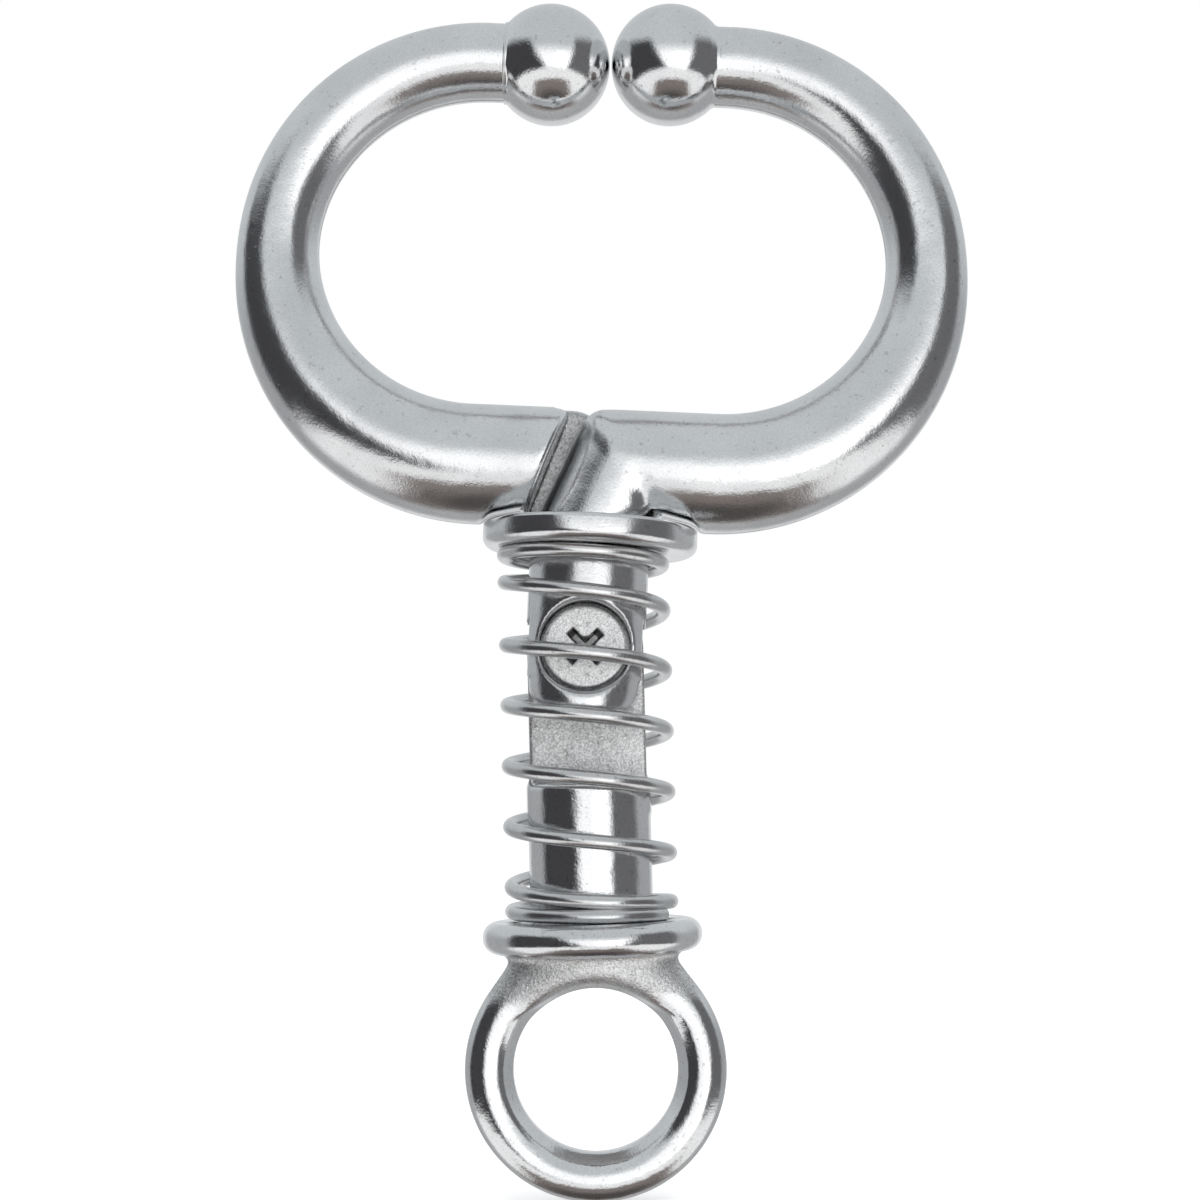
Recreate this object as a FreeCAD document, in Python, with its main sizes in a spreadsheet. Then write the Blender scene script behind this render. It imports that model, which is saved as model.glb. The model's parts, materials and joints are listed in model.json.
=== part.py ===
import FreeCAD, Part
import math
import os

import Sketcher
from FreeCAD import Placement, Rotation, Vector

# A spring-loaded nose lead. Two bows with ball tips turn on one screw in the tongue of a handle.
# A collar rides on the two half-round legs, and a compression spring holds it up against the bows.
#
# Frame: millimetres, origin at the centre of the lead-rope eye, +Z up along the handle to the balls,
# +X to the right, and the screw head faces -Y. The arms have a frame of their own, which starts at the
# screw's axis and leans by arm_lean about +Y, so that the bows stand a little to the right of the handle.

doc = FreeCAD.newDocument("NoseLead")

X_AXIS = Vector(1, 0, 0)
Y_AXIS = Vector(0, 1, 0)
Z_AXIS = Vector(0, 0, 1)

# ------------------------------------------------------------------ driving dimensions

DIMENSIONS = [
    # handle: eye, neck, flange, shaft and tongue
    ("eye_outer", 19.5),
    ("eye_bore", 12.2),
    ("eye_land", 1.0),
    ("eye_side_radius", 3.68),
    ("neck_half_width", 12.4),
    ("neck_half_depth", 5.6),
    ("neck_bottom", 11.0),
    ("flange_bottom", 17.4),
    ("flange_top", 22.1),
    ("flange_radius", 16.4),
    ("flange_edge", 2.1),
    ("shaft_radius", 9.2),
    ("shaft_top", 42.5),
    ("tongue_half_width", 8.7),
    ("tongue_thickness", 5.2),
    ("pivot_height", 62.5),
    # arms, in their own frame
    ("arm_lean", 3.9),
    ("bow_radius", 31.3),
    ("bow_centre_x", 18.2),
    ("bow_centre_z", 58.8),
    ("bow_tip_radius", 5.9),
    ("bow_root_radius", 9.1),
    ("elbow_x", 4.83),
    ("elbow_lean", 22.4),
    ("elbow_foot_z", 15.8),
    ("leg_radius", 9.2),
    ("leg_drop", 10.5),
    ("leg_corner", 6.8),
    ("leg_top", 19.6),
    ("tongue_side_gap", 0.1),
    ("tongue_top_gap", 0.6),
    ("lap_gap", 0.2),
    ("rear_end_low_x", 9.45),
    ("rear_end_low_z", 20.2),
    ("rear_end_lean", 19.55),
    ("seat_radius", 16.9),
    ("seat_height", 18.9),
    ("seat_leg_gap", 0.05),
    # balls
    ("ball_radius", 9.0),
    ("ball_x", 9.12),
    ("ball_socket", 3.0),
    # screw and its holes
    ("screw_radius", 3.0),
    ("screw_hole", 3.05),
    ("head_radius", 6.0),
    ("head_face", 7.0),
    ("head_seat", 4.7),
    ("head_gap", 0.05),
    ("head_edge", 0.4),
    ("screw_end", 8.6),
    ("counterbore", 6.7),
    ("recess_long", 5.8),
    ("recess_wide", 1.3),
    ("recess_deep", 1.5),
    ("recess_turn", 42.0),
    # collar and spring
    ("collar_bore", 10.4),
    ("collar_radius", 16.2),
    ("collar_thickness", 4.0),
    ("collar_middle", 16.7),
    ("collar_edge", 1.6),
    ("spring_mean", 11.9),
    ("spring_wire", 1.1),
    ("spring_turns", 6.0),
    ("spring_top", 76.1),
    ("spring_gap", 0.05),
]

sheet = doc.addObject("Spreadsheet::Sheet", "Sheet")
for row, (alias, number) in enumerate(DIMENSIONS, start=1):
    sheet.set(f"A{row}", alias)
    sheet.set(f"B{row}", str(number))
    sheet.setAlias(f"B{row}", alias)
doc.recompute()


def size(alias):
    """The number in the cell with this alias."""
    return float(sheet.get(alias))


# ------------------------------------------------------------------ sketches


def signed(cell):
    """Splits "-flange_radius" into its sign, alias and number. "" stands for zero."""
    if not cell:
        return 0, "", 0.0
    sign = -1 if cell.startswith("-") else 1
    alias = cell.lstrip("-")
    return sign, alias, sign * size(alias)


def pin(sketch, line, cell_x, cell_y):
    """Holds the start of a line or arc at a point whose coordinates are cells of the sheet."""
    for kind, axis, cell in (("DistanceX", -2, cell_x), ("DistanceY", -1, cell_y)):
        sign, alias, number = signed(cell)
        if not alias:
            sketch.addConstraint(Sketcher.Constraint("PointOnObject", line, 1, axis))
            continue
        ends = (-1, 1, line, 1) if sign > 0 else (line, 1, -1, 1)
        index = sketch.addConstraint(Sketcher.Constraint(kind, *ends, abs(number)))
        sketch.setExpression(f"Constraints[{index}]", f"Sheet.{alias}")


def bulged_arc(start, end, radius):
    """An arc from start to end, no more than a half turn, that bulges to the right of that direction."""
    middle = (start + end) * 0.5
    chord = end - start
    half = chord.Length / 2
    away = Vector(chord.y, -chord.x, 0).normalize()
    rise = radius - math.sqrt(max(radius**2 - half**2, 0.0))
    return Part.Arc(start, middle + away * rise, end)


def outline(sketch, steps):
    """Draws a closed outline. A step is (x, y), or (x, y, radius) where an arc leaves for the next point.

    Each x, y and radius is the name of a cell. The outline runs counter-clockwise where it has arcs.
    """
    points = [Vector(signed(s[0])[2], signed(s[1])[2], 0) for s in steps]
    lines = []
    for index, step in enumerate(steps):
        start, end = points[index], points[(index + 1) % len(points)]
        if len(step) == 3:
            lines.append(sketch.addGeometry(bulged_arc(start, end, size(step[2]))))
        else:
            lines.append(sketch.addGeometry(Part.LineSegment(start, end)))
    for index, line in enumerate(lines):
        following = lines[(index + 1) % len(lines)]
        sketch.addConstraint(Sketcher.Constraint("Coincident", line, 2, following, 1))
    for line, step in zip(lines, steps):
        pin(sketch, line, step[0], step[1])


def disc(sketch, radius, cell_x="", cell_y=""):
    """Draws a circle whose radius and centre are cells of the sheet."""
    centre = Vector(signed(cell_x)[2], signed(cell_y)[2], 0)
    ring = sketch.addGeometry(Part.Circle(centre, Z_AXIS, size(radius)))
    index = sketch.addConstraint(Sketcher.Constraint("Radius", ring, size(radius)))
    sketch.setExpression(f"Constraints[{index}]", f"Sheet.{radius}")
    for kind, axis, cell in (("DistanceX", -2, cell_x), ("DistanceY", -1, cell_y)):
        sign, alias, number = signed(cell)
        if not alias:
            sketch.addConstraint(Sketcher.Constraint("PointOnObject", ring, 3, axis))
            continue
        index = sketch.addConstraint(Sketcher.Constraint(kind, -1, 1, ring, 3, number))
        sketch.setExpression(f"Constraints[{index}]", f"Sheet.{alias}")


# ------------------------------------------------------------------ features of a body


def new_body(name):
    body = doc.addObject("PartDesign::Body", name)
    body.Label = name
    return body


def sketch_on(body, name, plane):
    """A sketch on one of the body's own origin planes."""
    sketch = body.newObject("Sketcher::SketchObject", name)
    faces = [f for f in body.Origin.OriginFeatures if f.Role == plane]
    sketch.AttachmentSupport = [(faces[0], "")]
    sketch.MapMode = "FlatFace"
    return sketch


def revolve(body, name, plane, steps):
    """Turns an outline about the sketch's upright axis."""
    sketch = sketch_on(body, name + "_outline", plane)
    outline(sketch, steps)
    turned = body.newObject("PartDesign::Revolution", name)
    turned.Profile = sketch
    turned.ReferenceAxis = (sketch, ["V_Axis"])
    turned.Angle = 360
    doc.recompute()
    return turned


def pocket_through(body, name, radius, cell_z=""):
    """A round hole along Y, right through the body both ways."""
    before = body.Shape.Volume
    sketch = sketch_on(body, name + "_circle", "XZ_Plane")
    disc(sketch, radius, "", cell_z)
    hole = body.newObject("PartDesign::Pocket", name)
    hole.Profile = sketch
    hole.Type = 1
    hole.Midplane = True
    doc.recompute()
    if body.Shape.Volume >= before:
        raise RuntimeError(f"{name} removed nothing")
    return hole


def round_edges(body, name, radius_cell, wanted):
    """Fillets the edges of the body that the wanted function picks."""
    tip = body.Tip
    names = [f"Edge{n}" for n, edge in enumerate(tip.Shape.Edges, start=1) if wanted(edge)]
    if not names:
        raise RuntimeError(f"{name} found no edge")
    fillet = body.newObject("PartDesign::Fillet", name)
    fillet.Base = (tip, names)
    fillet.Radius = size(radius_cell)
    fillet.setExpression("Radius", f"Sheet.{radius_cell}")
    doc.recompute()
    return fillet


def round_edge_of(radius):
    """Picks circular edges about the Z axis with this radius."""

    def wanted(edge):
        curve = edge.Curve
        if not isinstance(curve, Part.Circle):
            return False
        upright = abs(curve.Axis.z) > 0.99
        return upright and abs(curve.Radius - radius) < 1e-3

    return wanted


# ------------------------------------------------------------------ primitives, in the arms' frame


def cylinder(name, radius, height, place, height_expression=None):
    """A cylinder whose radius is a cell of the sheet. Its axis is the placement's own Z."""
    part = doc.addObject("Part::Cylinder", name)
    part.setExpression("Radius", f"Sheet.{radius}")
    part.Height = height
    if height_expression:
        part.setExpression("Height", height_expression)
    part.Placement = place
    return part


def box(name, low, high, turn=None):
    """A box between two corners, turned about its own low corner where a turn is given."""
    part = doc.addObject("Part::Box", name)
    part.Length, part.Width, part.Height = (high - low).x, (high - low).y, (high - low).z
    part.Placement = Placement(low, turn or Rotation())
    return part


def fuse(name, shapes):
    part = doc.addObject("Part::MultiFuse", name)
    part.Shapes = shapes
    part.Refine = True
    return part


def cut(name, base, tool):
    part = doc.addObject("Part::Cut", name)
    part.Base = base
    part.Tool = tool
    return part


def common(name, first, second):
    part = doc.addObject("Part::Common", name)
    part.Base = first
    part.Tool = second
    return part


def place_with_expressions(part, half_turn):
    """Puts a finished piece of an arm at the screw's axis, leaning with the arms."""
    lean = Rotation(Y_AXIS, size("arm_lean"))
    part.Placement = Placement(Vector(0, 0, size("pivot_height")), lean * Rotation(Z_AXIS, half_turn))
    part.setExpression("Placement.Base.z", "Sheet.pivot_height")


def upright(z, x=0.0):
    return Placement(Vector(x, 0, z), Rotation())


def along_y(y, z=0.0):
    """A placement whose own Z axis points along +Y, starting at this y."""
    return Placement(Vector(0, y, z), Rotation(X_AXIS, -90))


def along_x(x, z):
    """A placement whose own Z axis points along +X, starting at this x."""
    return Placement(Vector(x, 0, z), Rotation(Y_AXIS, 90))


# ------------------------------------------------------------------ handle


def make_handle():
    body = new_body("handle")
    # the eye: a ring about the Y axis with straight lands inside and outside and round sides
    revolve(
        body,
        "eye_ring",
        "XY_Plane",
        [
            ("eye_bore", "-eye_land", "eye_side_radius"),
            ("eye_outer", "-eye_land"),
            ("eye_outer", "eye_land", "eye_side_radius"),
            ("eye_bore", "eye_land"),
        ],
    )
    # flange and shaft, turned about the handle's own axis
    revolve(
        body,
        "flange_and_shaft",
        "XZ_Plane",
        [
            ("", "flange_bottom"),
            ("flange_radius", "flange_bottom"),
            ("flange_radius", "flange_top"),
            ("shaft_radius", "flange_top"),
            ("shaft_radius", "shaft_top"),
            ("", "shaft_top"),
        ],
    )
    round_edges(body, "flange_rim", "flange_edge", round_edge_of(size("flange_radius")))
    # neck between eye and flange
    sketch = sketch_on(body, "neck_outline", "XZ_Plane")
    outline(
        sketch,
        [
            ("-neck_half_width", "neck_bottom"),
            ("neck_half_width", "neck_bottom"),
            ("neck_half_width", "flange_bottom"),
            ("-neck_half_width", "flange_bottom"),
        ],
    )
    neck = body.newObject("PartDesign::Pad", "neck")
    neck.Profile = sketch
    neck.Midplane = True
    neck.setExpression("Length", "Sheet.neck_half_depth * 2")
    # tongue, rounded at the top about the screw
    sketch = sketch_on(body, "tongue_outline", "XZ_Plane")
    outline(
        sketch,
        [
            ("-tongue_half_width", "shaft_top"),
            ("tongue_half_width", "shaft_top"),
            ("tongue_half_width", "pivot_height", "tongue_half_width"),
            ("-tongue_half_width", "pivot_height"),
        ],
    )
    tongue = body.newObject("PartDesign::Pad", "tongue")
    tongue.Profile = sketch
    tongue.Midplane = True
    tongue.setExpression("Length", "Sheet.tongue_thickness")
    doc.recompute()
    pocket_through(body, "eye_hole", "eye_bore")
    pocket_through(body, "tongue_hole", "screw_hole", "pivot_height")
    return body


# ------------------------------------------------------------------ arms and balls


def taper(share):
    """How much of the root's extra thickness is left: 0 at the bow's side and above, 1 at its bottom."""
    return (share + math.sin(share * math.pi / 2)) / 2


def bow_loft(prefix):
    """The bow's half circle: round sections that thin out from the bottom to the side, then keep on."""
    tip, root = size("bow_tip_radius"), size("bow_root_radius")
    sections = []
    for degrees in range(-90, 91, 15):
        angle = math.radians(degrees)
        ring = doc.addObject("Part::Circle", f"{prefix}_section_{degrees + 90}")
        ring.Radius = tip + (root - tip) * taper(max(0.0, -degrees / 90))
        centre = Vector(
            size("bow_centre_x") + size("bow_radius") * math.cos(angle),
            0,
            size("bow_centre_z") + size("bow_radius") * math.sin(angle),
        )
        ring.Placement = Placement(centre, Rotation(Y_AXIS, -degrees))
        sections.append(ring)
    loft = doc.addObject("Part::Loft", prefix + "_bow")
    loft.Sections = sections
    loft.Solid = True
    return loft


def leg_blank(prefix):
    """The round leg with the two lower corners of its front view taken off to a radius."""
    reach = size("leg_radius") + 1
    round_leg = cylinder(
        prefix + "_round_leg",
        "leg_radius",
        size("leg_drop") + size("leg_top"),
        upright(-size("leg_drop")),
        "Sheet.leg_drop + Sheet.leg_top",
    )
    middle = size("leg_radius") - size("leg_corner")
    low = -size("leg_drop")
    shoulder = low + size("leg_corner")
    inner = box(prefix + "_leg_middle", Vector(-middle, -reach, low), Vector(middle, reach, size("leg_top")))
    upper = box(prefix + "_leg_upper", Vector(-reach, -reach, shoulder), Vector(reach, reach, size("leg_top")))
    corners = [
        cylinder(
            f"{prefix}_leg_corner_{n}",
            "leg_corner",
            2 * reach,
            Placement(Vector(x, -reach, shoulder), Rotation(X_AXIS, -90)),
        )
        for n, x in enumerate((-middle, middle))
    ]
    plate = fuse(prefix + "_leg_plate", [inner, upper] + corners)
    return common(prefix + "_leg", round_leg, plate)


def elbow_blank(prefix):
    """Where the leg leans over and meets the level part of the bow: two cylinders and what they share."""
    level = size("bow_centre_z") - size("bow_radius")
    reach = 30.0
    lean = Rotation(Y_AXIS, size("elbow_lean"))
    foot = Vector(0, 0, size("elbow_foot_z"))
    rise = Vector(size("elbow_x"), 0, level - size("elbow_foot_z"))
    leaning = cylinder(prefix + "_leaning", "bow_root_radius", rise.Length, Placement(foot, lean))
    leaning_long = cylinder(prefix + "_leaning_long", "bow_root_radius", rise.Length + reach, Placement(foot, lean))
    level_long = cylinder(prefix + "_level_long", "bow_root_radius", 2 * reach, along_x(-reach, level))
    corner = common(prefix + "_elbow", leaning_long, level_long)
    level_run = cylinder(
        prefix + "_level",
        "bow_root_radius",
        size("bow_centre_x") - size("elbow_x"),
        along_x(size("elbow_x"), level),
        "Sheet.bow_centre_x - Sheet.elbow_x",
    )
    return [leaning, corner, level_run]


def tip_run(prefix):
    """The straight end of the bow, which goes into the ball."""
    top = size("bow_centre_z") + size("bow_radius")
    start = size("ball_x") + size("ball_socket")
    return cylinder(prefix, "bow_tip_radius", size("bow_centre_x") - start, along_x(start, top))


def arm_cutters(prefix, counterbored):
    """All that is cut from an arm: the far half of the leg, the room for tongue and collar, the holes."""
    reach = 60.0
    lap = -size("lap_gap") / 2
    low_x, low_z = size("rear_end_low_x"), size("rear_end_low_z")
    cutters = [box(prefix + "_lap_low", Vector(-reach, lap, -reach), Vector(low_x, reach, low_z))]
    # the slanted end of the far half: a box whose right face passes through the low corner
    lean = Rotation(Y_AXIS, -size("rear_end_lean"))
    corner = Vector(low_x, lap, low_z) + lean.multVec(Vector(-reach, 0, -reach / 6))
    slanted = box(prefix + "_lap_slant", corner, corner + Vector(reach, reach, 1.5 * reach), lean)
    cutters.append(slanted)
    # room for the tongue: below the screw all the way across, above it a disc
    side = size("tongue_thickness") / 2 + size("tongue_side_gap")
    cutters.append(box(prefix + "_slot", Vector(-reach, -side, -reach), Vector(reach, 1, 0)))
    disc_room = doc.addObject("Part::Cylinder", prefix + "_slot_top")
    disc_room.setExpression("Radius", "Sheet.tongue_half_width + Sheet.tongue_top_gap")
    disc_room.Height = side + 1
    disc_room.Placement = along_y(-side)
    cutters.append(disc_room)
    # the seat that the collar comes up against
    seat_low = -2 * size("leg_drop")
    around = cylinder(prefix + "_seat_around", "seat_radius", size("seat_height") - seat_low, upright(seat_low))
    core = doc.addObject("Part::Cylinder", prefix + "_seat_core")
    core.setExpression("Radius", "Sheet.leg_radius + Sheet.seat_leg_gap")
    core.Height = reach
    core.Placement = upright(seat_low)
    cutters.append(cut(prefix + "_seat", around, core))
    # holes
    cutters.append(cylinder(prefix + "_hole", "screw_hole", 2 * reach, along_y(-reach)))
    if counterbored:
        depth = reach - size("head_seat")
        cutters.append(cylinder(prefix + "_counterbore", "counterbore", depth, along_y(-reach)))
    return fuse(prefix + "_cutters", cutters)


def make_arm(label, half_turn, counterbored):
    """An arm in its own frame has its leg in front and its bow to the right. The other is turned round."""
    prefix = label + "_blank"
    solids = [bow_loft(prefix), leg_blank(prefix), tip_run(prefix + "_tip")] + elbow_blank(prefix)
    whole = fuse(prefix, solids)
    arm = cut(label, whole, arm_cutters(prefix, counterbored))
    arm.Label = label
    place_with_expressions(arm, half_turn)
    return arm


def make_ball(label, half_turn):
    top = size("bow_centre_z") + size("bow_radius")
    sphere = doc.addObject("Part::Sphere", label + "_blank")
    sphere.setExpression("Radius", "Sheet.ball_radius")
    sphere.Placement = upright(top, size("ball_x"))
    ball = cut(label, sphere, tip_run(label + "_socket"))
    ball.Label = label
    place_with_expressions(ball, half_turn)
    return ball


# ------------------------------------------------------------------ screw, collar and spring


def make_screw():
    """Cross-recess screw along Y: head in the front leg's counterbore, end in the rear leg."""
    head_base = -size("head_seat") - size("head_gap")
    head = doc.addObject("Part::Cylinder", "screw_head_blank")
    head.setExpression("Radius", "Sheet.head_radius")
    head.setExpression("Height", "Sheet.head_face - Sheet.head_seat - Sheet.head_gap")
    head.Placement = along_y(-size("head_face"))
    doc.recompute()
    rounded = doc.addObject("Part::Fillet", "screw_head")
    rounded.Base = head
    faces = [
        n
        for n, edge in enumerate(head.Shape.Edges, start=1)
        if isinstance(edge.Curve, Part.Circle) and abs(edge.CenterOfMass.y + size("head_face")) < 1e-3
    ]
    rounded.Edges = [(n, size("head_edge"), size("head_edge")) for n in faces]
    shank = cylinder("screw_shank", "screw_radius", size("screw_end") - head_base, along_y(head_base))
    whole = fuse("screw_whole", [rounded, shank])
    half_long, half_wide = size("recess_long") / 2, size("recess_wide") / 2
    face, floor = -size("head_face") - 1, -size("head_face") + size("recess_deep")
    slots = []
    for n, turn in enumerate((size("recess_turn"), size("recess_turn") + 90)):
        slot = box(f"screw_slot_{n}", Vector(-half_long, face, -half_wide), Vector(half_long, floor, half_wide))
        turning = Placement(Vector(), Rotation(Y_AXIS, turn))
        slot.Placement = turning * slot.Placement
        slots.append(slot)
    screw = cut("pivot_screw", whole, fuse("screw_recess", slots))
    screw.Label = "pivot_screw"
    place_with_expressions(screw, 0)
    return screw


def make_collar():
    """A thick ring with round edges, square to the legs."""
    blank = doc.addObject("Part::Cylinder", "collar_blank")
    blank.setExpression("Radius", "Sheet.collar_radius")
    blank.setExpression("Height", "Sheet.collar_thickness")
    blank.Placement = upright(size("collar_middle") - size("collar_thickness") / 2)
    doc.recompute()
    rim = doc.addObject("Part::Fillet", "collar_rim")
    rim.Base = blank
    rings = [n for n, edge in enumerate(blank.Shape.Edges, start=1) if isinstance(edge.Curve, Part.Circle)]
    rim.Edges = [(n, size("collar_edge"), size("collar_edge")) for n in rings]
    bore = cylinder("collar_hole", "collar_bore", 4 * size("collar_thickness"), upright(0.0))
    bore.Placement = upright(size("collar_middle") - 2 * size("collar_thickness"))
    collar = cut("collar", rim, bore)
    collar.Label = "collar"
    place_with_expressions(collar, 0)
    return collar


def make_spring():
    """A left-hand coil from the flange to just under the collar."""
    foot = size("flange_top") + size("spring_wire") + size("spring_gap")
    head = size("spring_top") - size("spring_wire")
    helix = doc.addObject("Part::Helix", "spring_path")
    helix.LocalCoord = 1
    helix.Height = head - foot
    helix.Pitch = (head - foot) / size("spring_turns")
    helix.setExpression("Radius", "Sheet.spring_mean")
    helix.Placement = upright(foot)
    ring = doc.addObject("Part::Circle", "spring_section")
    ring.setExpression("Radius", "Sheet.spring_wire")
    ring.Placement = Placement(Vector(size("spring_mean"), 0, foot), Rotation(X_AXIS, 90))
    spring = doc.addObject("Part::Sweep", "spring")
    spring.Sections = [ring]
    spring.Spine = (helix, [])
    spring.Solid = True
    spring.Frenet = True
    spring.Label = "spring"
    return spring


# ------------------------------------------------------------------ the whole part

pieces = [
    make_handle(),
    make_arm("right_arm", 0, True),
    make_arm("left_arm", 180, False),
    make_ball("right_ball", 0),
    make_ball("left_ball", 180),
    make_screw(),
    make_collar(),
    make_spring(),
]
doc.recompute()

for item in doc.Objects:
    if any(word in item.State for word in ("Invalid", "Error")):
        raise RuntimeError(f"{item.Label} failed: {item.State}")
for piece in pieces:
    if piece.Shape.isNull() or not piece.Shape.isValid() or len(piece.Shape.Solids) != 1:
        raise RuntimeError(f"{piece.Label} is not one valid solid: {piece.Shape.Solids}")

os.makedirs("parts", exist_ok=True)
for piece in pieces:
    piece.Shape.exportStep(f"parts/{piece.Label}.step")
    low = piece.Shape.BoundBox
    print(
        f"{piece.Label}: {piece.Shape.Volume:.0f} mm3,"
        f" x {low.XMin:.2f}..{low.XMax:.2f}, y {low.YMin:.2f}..{low.YMax:.2f}, z {low.ZMin:.2f}..{low.ZMax:.2f}"
    )
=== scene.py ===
import json
import math

import bmesh
import bpy
import numpy as np
from mathutils import Matrix, Vector


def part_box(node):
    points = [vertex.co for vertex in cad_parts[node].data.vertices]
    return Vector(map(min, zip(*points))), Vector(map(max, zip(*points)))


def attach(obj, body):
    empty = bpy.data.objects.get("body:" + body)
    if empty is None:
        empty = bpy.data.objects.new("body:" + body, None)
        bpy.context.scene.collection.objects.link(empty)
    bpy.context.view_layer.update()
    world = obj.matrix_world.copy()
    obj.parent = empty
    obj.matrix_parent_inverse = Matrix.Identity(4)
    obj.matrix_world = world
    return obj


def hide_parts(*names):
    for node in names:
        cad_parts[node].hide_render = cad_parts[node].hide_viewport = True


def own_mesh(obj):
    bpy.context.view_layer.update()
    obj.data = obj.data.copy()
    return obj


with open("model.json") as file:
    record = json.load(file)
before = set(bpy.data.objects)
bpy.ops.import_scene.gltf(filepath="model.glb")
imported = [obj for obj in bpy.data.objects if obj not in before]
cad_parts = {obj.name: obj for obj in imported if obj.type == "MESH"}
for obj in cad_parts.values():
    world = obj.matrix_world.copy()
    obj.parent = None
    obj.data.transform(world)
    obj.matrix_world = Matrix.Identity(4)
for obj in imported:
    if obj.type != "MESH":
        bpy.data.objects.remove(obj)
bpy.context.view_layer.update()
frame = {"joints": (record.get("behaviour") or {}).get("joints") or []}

# Lengths are in millimetres until a mesh is made. Only the spring's tree and the stage work in metres.
MM = 0.001

# ------------------------------------------------------------------ sizes, the outer ones read from the frame


def joint(name):
    return next(j for j in frame["joints"] if j["name"] == name)


def cad_mm(node):
    low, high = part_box(node)
    return [v / MM for v in low], [v / MM for v in high]


pivot = Vector(joint("left_jaw_open")["pos_m"]) / MM
slide_axis = Vector(joint("collar_slide")["axis"])
lean = math.atan2(-slide_axis.x, -slide_axis.z)

handle_low, handle_high = cad_mm("handle")
ball_low, ball_high = cad_mm("left_ball")
collar_low, collar_high = cad_mm("collar")
spring_high = cad_mm("spring")[1]

# the handle: eye, neck, flange, shaft and tongue
EYE_OUTER = -handle_low[2]
EYE_BORE = 12.2
EYE_HALF_LAND = 0.6
EYE_BEVEL_Y = 3.36
EYE_BEVEL_OUT = 1.3
NECK_HALF_WIDTH = 11.9
NECK_HALF_DEPTH = 6.1
NECK_FOOT = 9.5
FLANGE_RADIUS = handle_high[1]
FLANGE_TOP = 22.1
FLANGE_THICK = 4.7
FLANGE_EDGE = 2.2
SHAFT_RADIUS = 9.2
SHAFT_TOP = 42.5
SHAFT_EDGE = 1.1
TONGUE_HALF = 8.7
TONGUE_SIDE = 2.6

# ball, collar and spring
BALL_RADIUS = (ball_high[1] - ball_low[1]) / 2
COLLAR_RADIUS = (collar_high[1] - collar_low[1]) / 2
COLLAR_THICK = 4.0
COLLAR_BORE = 10.4
COLLAR_MIDDLE = 16.7
WIRE = 1.1
COIL = spring_high[1] - WIRE
SPRING_TOP = 76.42
TOP_PITCH = 0.3
OPEN_PITCH = 9.12
FOOT_PITCH = 1.6
OPENS_AT = 0.80
CLOSES_AT = 6.44
LAST_TURN = 7.6

# the right arm, in the arms' own frame: origin at the screw, +Z up the legs, this leg in front (-Y)
BOW_RADIUS = 31.3
BOW_X = 18.2
BOW_Z = 58.8
TUBE_TIP = 5.9
TUBE_ROOT = 9.1
BALL_X = 9.12
TIP_RISE = 0.38
ELBOW = Vector((4.83, 0.0, BOW_Z - BOW_RADIUS))
ELBOW_FOOT = Vector((0.0, 0.0, 15.8))
ELBOW_RUN = (ELBOW - ELBOW_FOOT).normalized()
ELBOW_ROUND = 4.8
LEG_RADIUS = 9.2
LEG_DROP = 10.5
LEG_CORNER = 5.8
LEG_EDGE = 2.6
HALF_LAP_GAP = 0.1
LAP_SIDE = 9.45
LAP_BEND = 20.2
LAP_SLANT = math.radians(19.55)
LAP_ROUND = 2.2
LAP_EDGE = 1.1
TONGUE_GAP = 0.1
TONGUE_ROOM = 9.3
TONGUE_ROOM_EDGE = 0.5
SEAT_RADIUS = 16.9
SEAT_TOP = 21.0
SEAT_FLARE_FROM = 18.6
SEAT_FLARE = 0.75
SEAT_SLOPE = 0.22
SEAT_EDGE = 0.6
HOLE_EDGE = 0.4
COUNTERBORE_EDGE = 1.0

# heights between which the arm's cuts act, and the x from which the level run is spared
LEG_END_BELOW = 8
ELBOW_FROM = 24
ELBOW_TO = 40
BALLS_ABOVE = 60
SPARED_FROM = 6

# the net's cell for each casting: smaller cells give finer meshes
ARM_CELL = 0.42
HANDLE_CELL = 0.36
SCREW_CELL = 0.13

# the screw, its holes and the head's counterbore
SCREW_HOLE = 3.05
SHANK_RADIUS = 3.0
SHANK_END = 8.6
HEAD_RADIUS = 6.15
HEAD_SEAT = 4.7
HEAD_FACE = 7.0
COUNTERBORE = 6.7
CROSS_TURN = math.radians(46)
CROSS_REACH = 3.3
CROSS_HALF = 0.72
CROSS_HUB = 1.5
CROSS_DEPTH = 2.1
CROSS_END_TAPER = 0.42
CROSS_SIDE_TAPER = 0.12

arm_frame = Matrix.Translation(pivot) @ Matrix.Rotation(lean, 4, "Y")
half_turn = Matrix.Rotation(math.pi, 4, "Z")

# ------------------------------------------------------------------ skins over solids given by a distance


def soft_max(a, b, k):
    """The larger of two distances, with the edge between their solids rounded by about k."""
    h = np.maximum(k - np.abs(a - b), 0) / k
    return np.maximum(a, b) + h * h * k / 4


def soft_min(a, b, k):
    """The smaller of two distances, with the corner between their solids filled by about k."""
    return -soft_max(-a, -b, k)


def mix(a, b, share):
    """From a, where share is 0, to b, where it is 1."""
    return a + (b - a) * share


def step(low, high, value):
    """0 below low, 1 above high and smooth between them."""
    t = np.clip((value - low) / (high - low), 0, 1)
    return t * t * (3 - 2 * t)


def shifted(array, axis, start, end):
    """The part of an array from start to end along one axis."""
    index = [slice(None)] * 3
    index[axis] = slice(start, end)
    return array[tuple(index)]


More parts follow.
